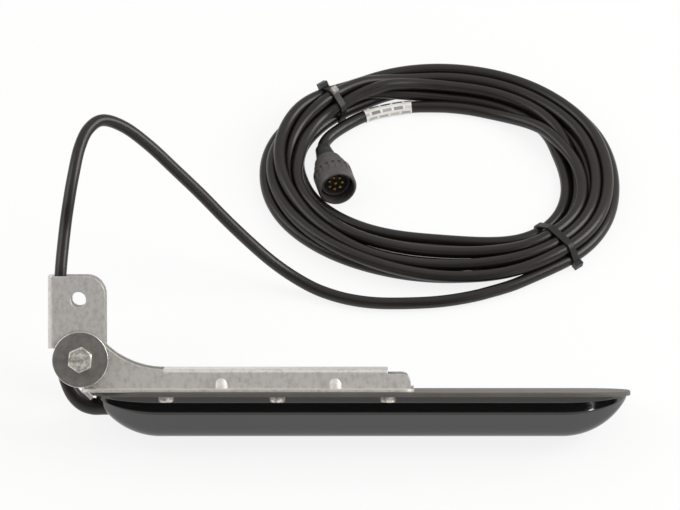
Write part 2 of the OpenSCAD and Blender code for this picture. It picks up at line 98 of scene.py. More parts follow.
@dataclass(frozen=True)
class RestingFrame:
    """The upright frame, laid over until the starboard bilge and the lid's edge touch the table."""

    sizes: HousingSizes

    @property
    def angle(self) -> float:
        """Gives the angle in radians at which a line from the lid's edge is tangent to the bilge."""
        across = self.sizes.lid_half_w - self.sizes.bilge_y
        up = self.sizes.hull_depth - self.sizes.bilge_r
        return math.asin(self.sizes.bilge_r / math.hypot(across, up)) + math.atan2(up, across)

    def to_table(self, points: np.ndarray) -> np.ndarray:
        """Turns upright points about X, drops them on the table and centres the housing and its bracket.

        Args:
            points: Upright points in millimetres, with x aft, y to starboard and z up from the keel.

        Returns:
            The same points as they lie on the table, in millimetres.
        """
        s = self.sizes
        cos, sin = math.cos(self.angle), math.sin(self.angle)
        lift = s.lid_half_w * sin - s.hull_depth * cos
        low_y = s.bilge_r * (sin - 1) - s.bilge_y * cos
        high_y = s.ear_half_w * cos + s.ear_top_z * sin
        p = np.asarray(points, float)
        x = p[..., 0] - (s.transom_x + s.lid_l) / 2
        y = p[..., 1] * cos + p[..., 2] * sin - (low_y + high_y) / 2
        z = p[..., 2] * cos - p[..., 1] * sin + lift
        return np.stack([x, y, z], axis=-1)


SIZES = HousingSizes()
REST = RestingFrame(SIZES)


def linear(hex_colour: str) -> tuple[float, float, float, float]:
    """Turns an sRGB hex value into linear red, green and blue with full alpha."""
    srgb = np.array([int(hex_colour[i:i + 2], 16) for i in (1, 3, 5)]) / 255
    low = srgb / 12.92
    high = ((srgb + 0.055) / 1.055) ** 2.4
    return (*np.where(srgb <= 0.04045, low, high).tolist(), 1.0)


def add_node(tree: bpy.types.NodeTree, kind: str, links: dict | None = None,
             **settings: object) -> bpy.types.Node:
    """Adds a shader node with its settings and its inputs.

    Args:
        tree: Node tree that takes the node.
        kind: Blender's type name of the node.
        links: Input sockets by name or number, each with a source socket or a value.
        settings: Properties of the node.

    Returns:
        The new node.
    """
    node = tree.nodes.new(kind)
    for name, value in settings.items():
        setattr(node, name, value)
    for socket, source in (links or {}).items():
        if isinstance(source, bpy.types.NodeSocket):
            tree.links.new(source, node.inputs[socket])
        else:
            node.inputs[socket].default_value = source
    return node


@dataclass(frozen=True)
class Finish:
    """A surface finish: two colours in soft patches, a grain in the roughness and a shallow relief.

    Patterns are laid out in the upright frame, in millimetres along, across and up the hull.
    """

    name: str
    colour: str
    patch_colour: str
    roughness: float
    roughness_swing: float = 0.06
    metallic: float = 0.0
    ior: float = 1.5
    patch_mm: tuple[float, float, float] = (9.0, 9.0, 9.0)
    grain_mm: tuple[float, float, float] = (0.6, 0.6, 0.6)
    relief: float = 0.04
    relief_mm: float = 0.2
    # Colour at the edges: the own tone of a sheared edge, and a painted highlight where it is paler than
    # the surface.
    edge_tone_and_highlight: str = ""
    edge_mm: float = 0.35
    patch_range: tuple[float, float] = (0.4, 0.62)

    def coordinates(self, tree: bpy.types.NodeTree,
                    period: tuple[float, float, float]) -> bpy.types.NodeSocket:
        """Gives object coordinates turned upright, with one unit for each period in millimetres."""
        place = add_node(tree, "ShaderNodeTexCoord")
        scale = tuple(p * MM for p in period)
        turned = add_node(tree, "ShaderNodeMapping", {
            "Vector": place.outputs["Object"], "Rotation": (-REST.angle, 0.0, 0.0), "Scale": scale,
        }, vector_type="TEXTURE")
        return turned.outputs["Vector"]

    def build(self) -> bpy.types.Material:
        """Makes the material, or gives the one that was made before."""
        made = bpy.data.materials.get(self.name)
        if made is not None:
            return made
        material = bpy.data.materials.new(self.name)
        material.use_nodes = True
        tree = material.node_tree
        tree.nodes.clear()
        patches = add_node(tree, "ShaderNodeTexNoise", {
            "Vector": self.coordinates(tree, self.patch_mm),
            "Scale": 1.0, "Detail": 4.0, "Roughness": 0.6,
        })
        grain = add_node(tree, "ShaderNodeTexNoise", {
            "Vector": self.coordinates(tree, self.grain_mm),
            "Scale": 1.0, "Detail": 3.0, "Roughness": 0.65,
        })
        share = add_node(tree, "ShaderNodeMapRange", {
            "Value": patches.outputs["Fac"],
            "From Min": self.patch_range[0], "From Max": self.patch_range[1],
        }, clamp=True)
        colour = add_node(tree, "ShaderNodeMix", {
            "Factor": share.outputs["Result"], "A": linear(self.colour), "B": linear(self.patch_colour),
        }, data_type="RGBA").outputs["Result"]
        rough = add_node(tree, "ShaderNodeMapRange", {
            "Value": grain.outputs["Fac"], "From Min": 0.3, "From Max": 0.7,
            "To Min": self.roughness - self.roughness_swing,
            "To Max": self.roughness + self.roughness_swing,
        }, clamp=True)
        colour = self.decorate(tree, colour)
        bump = add_node(tree, "ShaderNodeBump", {
            "Height": grain.outputs["Fac"], "Strength": self.relief,
            "Distance": self.relief_mm * MM,
        })
        # Rounded normals at the edges, and the edge colour mixed in there, which on pale rims is a painted
        # highlight.
        if self.edge_tone_and_highlight:
            soft = add_node(tree, "ShaderNodeBevel", {"Radius": self.edge_mm * MM}, samples=8)
            tree.links.new(soft.outputs["Normal"], bump.inputs["Normal"])
            colour = self.paint_edge_tone_and_highlight(tree, colour, soft.outputs["Normal"])
        shader = add_node(tree, "ShaderNodeBsdfPrincipled", {
            "Base Color": colour, "Roughness": rough.outputs["Result"], "Metallic": self.metallic,
            "IOR": self.ior, "Normal": bump.outputs["Normal"],
        })
        add_node(tree, "ShaderNodeOutputMaterial", {"Surface": shader.outputs["BSDF"]})
        return material

    def decorate(self, tree: bpy.types.NodeTree, colour: bpy.types.NodeSocket) -> bpy.types.NodeSocket:
        """Adds marks of the finish's own; the plain finish has none."""
        return colour

    def paint_edge_tone_and_highlight(self, tree: bpy.types.NodeTree, colour: bpy.types.NodeSocket,
                   soft: bpy.types.NodeSocket) -> bpy.types.NodeSocket:
        """Gives the edges a colour of their own, where a rounded normal departs from the true one: the
        sheared edge's own tone on the sheet, and a painted highlight on the pale rims of washers and
        screws.

        Args:
            tree: Node tree of the finish.
            colour: Colour of the surface.
            soft: Normal that is rounded at the edges.

        Returns:
            The colour with that of the edges.
        """
        true = add_node(tree, "ShaderNodeNewGeometry")
        match = add_node(tree, "ShaderNodeVectorMath", {
            0: soft, 1: true.outputs["Normal"],
        }, operation="DOT_PRODUCT")
        edge = add_node(tree, "ShaderNodeMapRange", {
            "Value": match.outputs["Value"], "From Min": 0.99, "From Max": 0.86,
        }, clamp=True)
        return add_node(tree, "ShaderNodeMix", {
            "Factor": edge.outputs["Result"], "A": colour, "B": linear(self.edge_tone_and_highlight),
        }, data_type="RGBA").outputs["Result"]


@dataclass(frozen=True)
class PrintedFilm(Finish):
    """White vinyl wrap label with plain printed bars that stand for no words."""

    bar_colour: str = "#3c3b3a"
    bar_mm: float = 6.0
    row_mm: float = 2.9
    gap_mm: float = 0.7

    def decorate(self, tree: bpy.types.NodeTree, colour: bpy.types.NodeSocket) -> bpy.types.NodeSocket:
        """Prints short bars along the film, from its own UV map in metres."""
        place = add_node(tree, "ShaderNodeUVMap", uv_map="run")
        bars = add_node(tree, "ShaderNodeTexBrick", {
            "Vector": place.outputs["UV"], "Scale": 1.0 / MM,
            "Mortar Size": self.gap_mm, "Mortar Smooth": 0.2,
            "Brick Width": self.bar_mm, "Row Height": self.row_mm, "Bias": 0.0,
            "Color1": BLACK, "Color2": WHITE, "Mortar": WHITE,
        }, offset=0.35)
        return add_node(tree, "ShaderNodeMix", {
            "Factor": bars.outputs["Color"], "A": linear(self.bar_colour), "B": colour,
        }, data_type="RGBA").outputs["Result"]


# Gloss urethane from a polished mould: nearly black, it shows the room as a clean mirror at its curves.
# The IOR is above a plain plastic's, because the skin on the object mirrors that strongly.
HULL_GLOSS = Finish("moulded_gloss_urethane", "#0b0a0a", "#0f0e0d", 0.1, 0.03, ior=1.85,
                    patch_mm=(30, 30, 30), grain_mm=(1.6, 1.6, 1.6), relief=0.006)
# Satin ABS from a spark-eroded mould: a fine grain breaks the shine and leaves a soft grey brown.
LID_SATIN = Finish("moulded_satin_abs", "#57524e", "#5d5853", 0.56, 0.06, ior=1.45,
                   patch_mm=(14, 14, 14), grain_mm=(0.5, 0.5, 0.5), relief=0.05)
# Tumbled stainless sheet: a fine cloudy mottling from the tumbling stone and rounded sheared edges.
STAINLESS = Finish("tumbled_stainless_sheet", "#e6e3df", "#cbc7c1", 0.5, 0.08, metallic=1.0,
                   patch_mm=(2.4, 2.4, 3.2), grain_mm=(0.35, 0.35, 0.4), relief=0.05,
                   edge_tone_and_highlight="#c9c6c2", edge_mm=0.6, patch_range=(0.44, 0.74))
# Stamped washer steel: darker and a little smoother than the sheet, with a painted highlight on the rim, a
# pale colour laid on its edges.
WASHER_STEEL = Finish("stamped_washer_steel", "#a8a39f", "#94908c", 0.42, 0.06, metallic=1.0,
                      patch_mm=(5, 5, 5), grain_mm=(0.4, 0.4, 0.4), relief=0.03,
                      edge_tone_and_highlight="#f2efe9", edge_mm=0.8)
# Cold-headed stainless screws: bright, with small dents, and rims that catch the light through rounded
# normals and carry a painted highlight, a pale colour on their edges.
BRIGHT_STEEL = Finish("cold_headed_stainless", "#f6f3ee", "#a9a498", 0.45, 0.08, metallic=0.85,
                      patch_mm=(2.6, 2.6, 2.6), grain_mm=(0.7, 0.7, 0.7), relief=0.12,
                      edge_tone_and_highlight="#f4f1ea", edge_mm=0.5)
# Extruded PVC jacket: satin black, with a warm sheen along its upper side.
JACKET = Finish("extruded_pvc_jacket", "#181310", "#1e1814", 0.32, 0.04, ior=1.48,
                patch_mm=(40, 40, 40), grain_mm=(0.9, 0.9, 0.9), relief=0.015)
# Glass-filled nylon: grey black with a dry mould grain.
CONNECTOR_NYLON = Finish("glass_filled_nylon", "#454240", "#4e4a47", 0.47, 0.06,
                         patch_mm=(5, 5, 5), grain_mm=(0.35, 0.35, 0.35), relief=0.08)
# Nylon cable tie: black and slightly waxy.
TIE_NYLON = Finish("black_tie_nylon", "#0c0b0a", "#12100f", 0.45, 0.06,
                   patch_mm=(4, 4, 4), grain_mm=(0.5, 0.5, 0.5), relief=0.05)
# Cut end of a tie: the pale torn core of the nylon.
CUT_NYLON = Finish("cut_tie_nylon", "#b9b4ac", "#8c877f", 0.5, 0.06,
                   patch_mm=(1, 1, 1), grain_mm=(0.3, 0.3, 0.3), relief=0.1)
# Injection-moulded boot rubber: dull black.
BOOT_RUBBER = Finish("moulded_boot_rubber", "#242221", "#2b2827", 0.55, 0.06,
                     patch_mm=(5, 5, 5), grain_mm=(0.4, 0.4, 0.4), relief=0.08)
# Natural nylon washers: milky and slightly yellow.
NATURAL_NYLON = Finish("natural_nylon", "#d8d2c2", "#cdc6b4", 0.45, 0.05,
                       patch_mm=(4, 4, 4), grain_mm=(0.5, 0.5, 0.5), relief=0.04)
# Blue nylon ring of a lock nut: a waxy spot of colour inside the nut.
INSERT_NYLON = Finish("nut_ring_nylon", "#3f5f96", "#385688", 0.42, 0.05,
                      patch_mm=(3, 3, 3), grain_mm=(0.5, 0.5, 0.5), relief=0.04)
# Gold flash over turned brass pins: small warm glints in the dark socket.
PIN_GOLD = Finish("gold_flashed_brass", "#d9b45a", "#c29a44", 0.24, 0.05, metallic=1.0,
                  patch_mm=(1.5, 1.5, 1.5), grain_mm=(0.3, 0.3, 0.3), relief=0.03)
# Seal ring of moulded EPDM rubber: dull black.
SEAL_RUBBER = Finish("epdm_seal", "#1a1918", "#221f1e", 0.6, 0.05,
                     patch_mm=(3, 3, 3), grain_mm=(0.4, 0.4, 0.4), relief=0.06)
# Matt vinyl film: off-white with a soft, even sheen.
LABEL_FILM = PrintedFilm("printed_vinyl_film", "#f0eeea", "#e6e3de", 0.4, 0.05,
                         patch_mm=(6, 6, 6), grain_mm=(0.5, 0.5, 0.5), relief=0.03)
# Fired piezo ceramic, inside the hull: a chalky buff.
CERAMIC = Finish("fired_piezo_ceramic", "#c9c2b4", "#bdb5a5", 0.6)
# Cast backing resin, inside the hull: a dull tan.
BACKING = Finish("cast_backing_resin", "#8a7f6a", "#7d735f", 0.6)

NODE_FINISHES: dict[str, Finish] = {
    "rail_bracket": STAINLESS, "transom_bracket": STAINLESS, "port_washer": WASHER_STEEL,
    "starboard_washer": WASHER_STEEL, "pivot_bolt": BRIGHT_STEEL, "lock_nut": BRIGHT_STEEL,
    "nut_insert": INSERT_NYLON, "port_friction_washer": NATURAL_NYLON,
    "starboard_friction_washer": NATURAL_NYLON, "cable_gland": BOOT_RUBBER,
    "connector_boot": BOOT_RUBBER, "connector_body": CONNECTOR_NYLON,
    "locking_collar": CONNECTOR_NYLON, "pin_insert": BOOT_RUBBER,
    "contact_pins": PIN_GOLD, "seal_ring": SEAL_RUBBER, "port_sidescan_bar": CERAMIC,
    "starboard_sidescan_bar": CERAMIC, "downscan_bar": CERAMIC, "backing_block": BACKING,
    "temperature_sensor": BACKING,
    **{f"{side}_screw_{i}": BRIGHT_STEEL for side in ("port", "starboard") for i in (1, 2, 3)},
}


def make_piece(name: str, points: np.ndarray, faces: Sequence[Sequence[int]], finish: Finish,
               crease: float) -> bpy.types.Object:
    """Makes a mesh object from points in millimetres on the table.

    Args:
        name: Name of the piece.
        points: Vertices in millimetres, in the table frame.
        faces: Vertex numbers of each face, wound outwards.
        finish: Finish of the piece.
        crease: Angle in degrees past which an edge stays sharp.

    Returns:
        The object, at the origin, with smooth shading.
    """
    mesh = bpy.data.meshes.new(name)
    mesh.from_pydata((np.asarray(points) * MM).tolist(), [], [list(f) for f in faces])
    mesh.polygons.foreach_set("use_smooth", np.ones(len(mesh.polygons), bool))
    mesh.set_sharp_from_angle(angle=math.radians(crease))
    mesh.materials.append(finish.build())
    mesh.update()
    piece = bpy.data.objects.new(name, mesh)
    bpy.context.scene.collection.objects.link(piece)
    LOG.info("%s: %d faces", name, len(mesh.polygons))
    return piece


def grid_faces(rows: int, columns: int, closed_rows: bool, closed_columns: bool) -> np.ndarray:
    """Gives the quads of a grid of points.

    Args:
        rows: Number of rows of points.
        columns: Points in each row.
        closed_rows: Whether the last row joins the first.
        closed_columns: Whether each row is a loop.

    Returns:
        An array of four vertex numbers for each quad.
    """
    i, j = np.meshgrid(np.arange(rows if closed_rows else rows - 1),
                       np.arange(columns if closed_columns else columns - 1), indexing="ij")
    a = i * columns + j
    b = ((i + 1) % rows) * columns + j
    c = ((i + 1) % rows) * columns + (j + 1) % columns
    d = i * columns + (j + 1) % columns
    return np.stack([a, b, c, d], axis=-1).reshape(-1, 4)


def smooth_run(points: np.ndarray, steps: int) -> np.ndarray:
    """Draws a smooth curve through points: a cubic for each pair, with slopes from the neighbours.

    Args:
        points: Points of the route.
        steps: Points of the curve for each stretch of the route.

    Returns:
        Points of the curve, the route's own among them.
    """
    p = np.asarray(points, float)
    a = np.vstack([p[:1], p[:-2]])[:, None]
    b, c = p[:-1][:, None], p[1:][:, None]
    d = np.vstack([p[2:], p[-1:]])[:, None]
    t = (np.arange(steps) / steps)[None, :, None]
    slope = c - a
    square = 2 * a - 5 * b + 4 * c - d
    cube = 3 * b - a - 3 * c + d
    curve = 0.5 * (2 * b + slope * t + square * t ** 2 + cube * t ** 3)
    return np.vstack([curve.reshape(-1, 3), p[-1:]])


def run_length(points: np.ndarray) -> float:
    """Gives the length of a line of points, in their own unit."""
    return float(np.linalg.norm(np.diff(points, axis=0), axis=1).sum())


def tube_piece(name: str, path: np.ndarray, radius: float | np.ndarray, finish: Finish,
               sides: int) -> bpy.types.Object:
    """Carries a circle along a path: each ring lies square to the path, with its start side up.

    Args:
        name: Name of the piece.
        path: Points of the centre line, in millimetres.
        radius: Radius in millimetres, one or one for each point.
        finish: Finish of the tube.
        sides: Points in each ring.

    Returns:
        The closed tube, with a UV map in metres along and around it.
    """
    tangent = np.gradient(path, axis=0)
    tangent /= np.linalg.norm(tangent, axis=1, keepdims=True)
    up = np.array([0.0, 0.0, 1.0]) - tangent[:, 2:] * tangent
    up /= np.linalg.norm(up, axis=1, keepdims=True)
    side = np.cross(tangent, up)
    turn = np.linspace(0, 2 * np.pi, sides, endpoint=False)
    r = np.broadcast_to(np.asarray(radius, float), len(path))[:, None, None]
    ring = up[:, None] * np.cos(turn)[None, :, None] + side[:, None] * np.sin(turn)[None, :, None]
    points = (path[:, None] + r * ring).reshape(-1, 3)
    quads = grid_faces(len(path), sides, False, True)[:, ::-1]
    last = (len(path) - 1) * sides
    caps = [list(range(sides)), [last + k for k in range(sides - 1, -1, -1)]]
    piece = make_piece(name, points, [*quads.tolist(), *caps], finish, crease=60)
    along = np.concatenate([[0], np.cumsum(np.linalg.norm(np.diff(path, axis=0), axis=1))]) * MM
    around = np.arange(sides + 1) / sides * 2 * np.pi * float(r.max()) * MM
    i, j = np.divmod(np.arange(len(quads)), sides)
    near, far = along[i], along[i + 1]
    low, high = around[j], around[j + 1]
    loop = ((near, high), (far, high), (far, low), (near, low))
    corners = np.stack([np.stack(corner, axis=-1) for corner in loop], axis=1)
    uv = np.zeros((len(piece.data.loops), 2))
    uv[:4 * len(quads)] = corners.reshape(-1, 2)
    piece.data.uv_layers.new(name="run").data.foreach_set("uv", uv.ravel())
    return piece


@dataclass
class CableCoil:
    """Turns of cable that lie in an oval heap on the table and are drawn together by two ties.

    Lengths are in millimetres and angles in degrees round the oval. Each bulge has its push outwards, its
    angle and its width. Spread gives the heap's half width by angle. Order gives each turn's place across
    the heap, from -1 inside to 1 outside, and layers gives how many cables high it starts.
    """

    centre: tuple[float, float] = (49.3, 146.0)
    half_axes: tuple[float, float] = (72.5, 58.0)
    bulges: tuple[tuple[float, float, float], ...] = ((10.0, -42.0, 34.0), (4.0, 170.0, 45.0))
    cable_d: float = 6.0
    start_deg: float = -49.0
    turns: float = 7.39
    slices: int = 180
    tie_deg: tuple[float, float] = (-44.0, 135.0)
    tie_span: float = 24.0
    spread: tuple[tuple[float, float], ...] = (
        (-180, 10.0), (-135, 17.5), (-90, 25.0), (-44, 13.0), (0, 9.5), (45, 11.0), (90, 12.5),
        (135, 10.0), (180, 10.0))
    order: tuple[float, ...] = (1.0, 0.55, 0.05, -0.75, 0.75, 0.3, -0.4, 0.0, -1.0)
    layers: tuple[float, ...] = (0.0, 0.0, 0.0, 0.0, 1.0, 1.0, 1.0, 1.9, 0.0)
    rounds: int = 600
    clearance: float = 0.05
    sink: float = 0.06
    homing: float = 0.012
    tie_pull: float = 0.03
    push_passes: int = 3
    push_share: float = 0.6
    smooth_passes: int = 40
    last_rounds: int = 60
    last_passes: int = 3
    angle: np.ndarray = field(init=False)
    offset: np.ndarray = field(init=False)
    height: np.ndarray = field(init=False)

    def __post_init__(self) -> None:
        """Winds the turns and lets them settle."""
        count = int(round(self.turns * self.slices)) + 1
        turn = np.arange(count) / self.slices
        self.angle = math.radians(self.start_deg) + 2 * np.pi * turn
        self.offset = self.eased(turn, self.order) * self.half_width(self.angle)
        self.height = self.cable_d * (0.5 + self.eased(turn, self.layers))
        self.settle()

    def eased(self, turn: np.ndarray, values: tuple[float, ...]) -> np.ndarray:
        """Passes from the value at each whole turn to the next, and to the last at the run's end."""
        knots = np.array([*range(len(values) - 1), self.turns])
        v = np.array(values)
        i = np.clip(np.searchsorted(knots, turn, side="right") - 1, 0, len(knots) - 2)
        t = (turn - knots[i]) / (knots[i + 1] - knots[i])
        return v[i] + (v[i + 1] - v[i]) * t * t * (3 - 2 * t)

    def half_width(self, angle: np.ndarray) -> np.ndarray:
        """Gives the half width of the heap at each angle, in millimetres."""
        degrees, half = np.array(self.spread).T
        return np.interp((np.degrees(angle) + 180) % 360 - 180, degrees, half)

    def tightness(self, angle: np.ndarray) -> np.ndarray:
        """Gives 1 at the ties and 0 away from them."""
        way = np.degrees(angle)[:, None] - np.array(self.tie_deg)[None]
        gap = np.abs((way + 180) % 360 - 180).min(axis=1)
        return np.clip(1 - gap / self.tie_span, 0, 1) ** 2

    def settle(self) -> None:
        """Lets the turns settle: slice by slice they push apart, and along the run they stay smooth.

        Each slice stands square to the oval. Discs that overlap in it part by half each, gravity pulls
        them down, the floor holds them and the ties draw them to the middle of the heap. In the last
        rounds the run is smoothed less, so that the strands come clear of each other.
        """
        d = self.cable_d + self.clearance
        count = len(self.angle)
        strands = math.ceil(count / self.slices)
        pad = strands * self.slices - count
        home = self.offset.copy()
        pull = self.tie_pull * self.tightness(self.angle)
        first, second = np.triu_indices(strands, 1)
        there = np.concatenate([np.ones(count, bool), np.zeros(pad, bool)]).reshape(strands, self.slices)
        both = there[first] & there[second]
        for step in range(self.rounds):
            self.height -= self.sink
            self.offset += self.homing * (home - self.offset) - pull * self.offset
            for _ in range(self.push_passes):
                u = np.pad(self.offset, (0, pad)).reshape(strands, self.slices)
                z = np.pad(self.height, (0, pad)).reshape(strands, self.slices)
                du, dz = u[second] - u[first], z[second] - z[first]
                gap = np.hypot(du, dz) + 1e-9
                push = np.where(both & (gap < d), 0.5 * (d - gap) / gap, 0.0)
                move_u, move_z = np.zeros_like(u), np.zeros_like(z)
                np.add.at(move_u, first, -push * du)
                np.add.at(move_u, second, push * du)
                np.add.at(move_z, first, -push * dz)
                np.add.at(move_z, second, push * dz)
                self.offset += self.push_share * move_u.ravel()[:count]
                self.height += self.push_share * move_z.ravel()[:count]
                self.height = np.maximum(self.height, self.cable_d / 2)
            early = step < self.rounds - self.last_rounds
            for _ in range(self.smooth_passes if early else self.last_passes):
                for line in (self.offset, self.height):
                    line[1:-1] += 0.25 * (line[2:] + line[:-2] - 2 * line[1:-1])

    def place(self, angle: np.ndarray, offset: np.ndarray) -> tuple[np.ndarray, np.ndarray]:
        """Places points beside the oval, which bulges out at two places.

        Args:
            angle: Angles of the oval, in radians.
            offset: Distances outwards from the oval, in millimetres.

        Returns:
            Points on the table and the directions outwards there.
        """
        a, b = self.half_axes
        push, at, width = np.array(self.bulges).T
        way = (np.degrees(angle)[..., None] - at + 180) % 360 - 180
        out = offset + (push * np.exp(-(way / width) ** 2)).sum(axis=-1)
        normal = np.stack([b * np.cos(angle), a * np.sin(angle)], axis=-1)
        normal /= np.linalg.norm(normal, axis=-1, keepdims=True)
        oval = np.stack([a * np.cos(angle), b * np.sin(angle)], axis=-1) + np.array(self.centre)
        return oval + out[..., None] * normal, normal

    def points(self) -> np.ndarray:
        """Gives the settled run in millimetres on the table."""
        return np.column_stack([self.place(self.angle, self.offset)[0], self.height])

    def section(self, degrees: float) -> np.ndarray:
        """Gives offset and height of each strand in the plane at an angle."""
        start = math.radians(degrees - self.start_deg) % (2 * np.pi)
        at = np.arange(start / (2 * np.pi), self.turns, 1.0) * self.slices
        i = np.clip(np.round(at).astype(int), 0, len(self.angle) - 1)
        return np.stack([self.offset[i], self.height[i]], axis=-1)


@dataclass
class CableTies:
    """Two nylon ties round the coil, each a flat band with a locking head; the left one is cut short.

    Directions in a tie's plane are in degrees from outwards to up. A block's half sizes are along the
    band, across it and away from the strands, in millimetres.
    """

    coil: CableCoil
    head_deg: tuple[float, float] = (-12.0, 52.0)
    head_half: tuple[float, float, float] = (1.8, 2.3, 1.4)
    head_lift: float = 1.0
    cut_deg: float = 104.0
    cut_half: tuple[float, float, float] = (1.5, 1.5, 1.9)
    cut_lift: float = 0.9
    band_half_w: float = 1.8
    band_half_t: float = 0.55
    band_ease: float = 0.25
    stand_off: float = 0.7
    low_z: float = 0.6
    band_points: int = 120
    crease: float = 40.0

    def build(self) -> list[bpy.types.Object]:
        """Makes both bands and the left one's cut end, hides the CAD ties and puts the new pieces on the
        housing.
        """
        right_deg, left_deg = self.coil.tie_deg
        right = self.band("right_tie_band", right_deg, self.head_deg[0])
        left = self.band("left_tie_band", left_deg, self.head_deg[1])
        corners, faces = self.block(left_deg, self.cut_deg, self.cut_half, self.cut_lift)
        cut = make_piece("left_tie_cut_end", corners, faces.tolist(), CUT_NYLON, self.crease)
        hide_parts("right_cable_tie")
        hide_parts("left_cable_tie")
        ties = [right, left, cut]
        for piece in ties:
            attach(piece, Body.HOUSING.value)
        return ties

    def line(self, degrees: float, turn: np.ndarray) -> tuple[np.ndarray, np.ndarray, np.ndarray]:
        """Finds where a tight band lies: in each direction the farthest strand holds it.

        Args:
            degrees: Angle of the tie's plane round the coil.
            turn: Directions in that plane, in radians from outwards to up.

        Returns:
            Points of the band, the directions away from the strands and the direction across the band.
        """
        section = self.coil.section(degrees)
        out = np.stack([np.cos(turn), np.sin(turn)], axis=-1)
        reach = self.coil.cable_d / 2 + self.stand_off
        flat = section[(section @ out.T).argmax(axis=0)] + out * reach
        flat[:, 1] = np.maximum(flat[:, 1], self.low_z)
        base, normal = self.coil.place(np.array(math.radians(degrees)), np.array(0.0))
        side, up = np.array([*normal, 0.0]), np.array([0.0, 0.0, 1.0])
        line = np.array([*base, 0.0]) + flat[:, :1] * side + flat[:, 1:] * up
        return line, out[:, :1] * side + out[:, 1:] * up, np.cross(up, side)

    def band(self, name: str, degrees: float, head: float) -> bpy.types.Object:
        """Carries a flat section with eased outer corners round the strands and adds the locking head.

        Args:
            name: Name of the piece.
            degrees: Angle of the tie's plane round the coil.
            head: Direction of the head in that plane, in degrees.

        Returns:
            The band with its head.
        """
        turn = np.linspace(0, 2 * np.pi, self.band_points, endpoint=False)
        line, outward, tangent = self.line(degrees, turn)
        w, t, e = self.band_half_w, self.band_half_t, self.band_ease
        profile = np.array([(-w, -t), (-w, t - e), (e - w, t), (w - e, t), (w, t - e), (w, -t)])
        points = line[:, None] + profile[None, :, :1] * tangent + profile[None, :, 1:] * outward[:, None]
        quads = grid_faces(len(line), len(profile), True, True)
        corners, faces = self.block(degrees, head, self.head_half, self.head_lift)
        faces = faces + len(line) * len(profile)
        return make_piece(name, np.vstack([points.reshape(-1, 3), corners]),
                          [*quads.tolist(), *faces.tolist()], TIE_NYLON, self.crease)

    def block(self, degrees: float, at: float, half: tuple[float, float, float],
              lift: float) -> tuple[np.ndarray, np.ndarray]:
        """Gives a block that sits on a tie's band.

        Args:
            degrees: Angle of the tie's plane round the coil.
            at: Direction of the block in that plane, in degrees.
            half: Half sizes of the block.
            lift: Distance of the block's middle from the band.

        Returns:
            Corners and faces of the block.
        """
        line, outward, tangent = self.line(degrees, np.radians([at]))
        axes = np.stack([np.cross(outward[0], tangent), tangent, outward[0]])
        square = ((-1, -1), (1, -1), (1, 1), (-1, 1))
        signs = np.array([(x, y, z) for z in (-1, 1) for x, y in square])
        corners = line[0] + lift * outward[0] + (signs * np.array(half)) @ axes
        sides = [(k, k + 4, (k + 1) % 4 + 4, (k + 1) % 4) for k in range(4)]
        return corners, np.array([(0, 1, 2, 3), (7, 6, 5, 4), *sides])


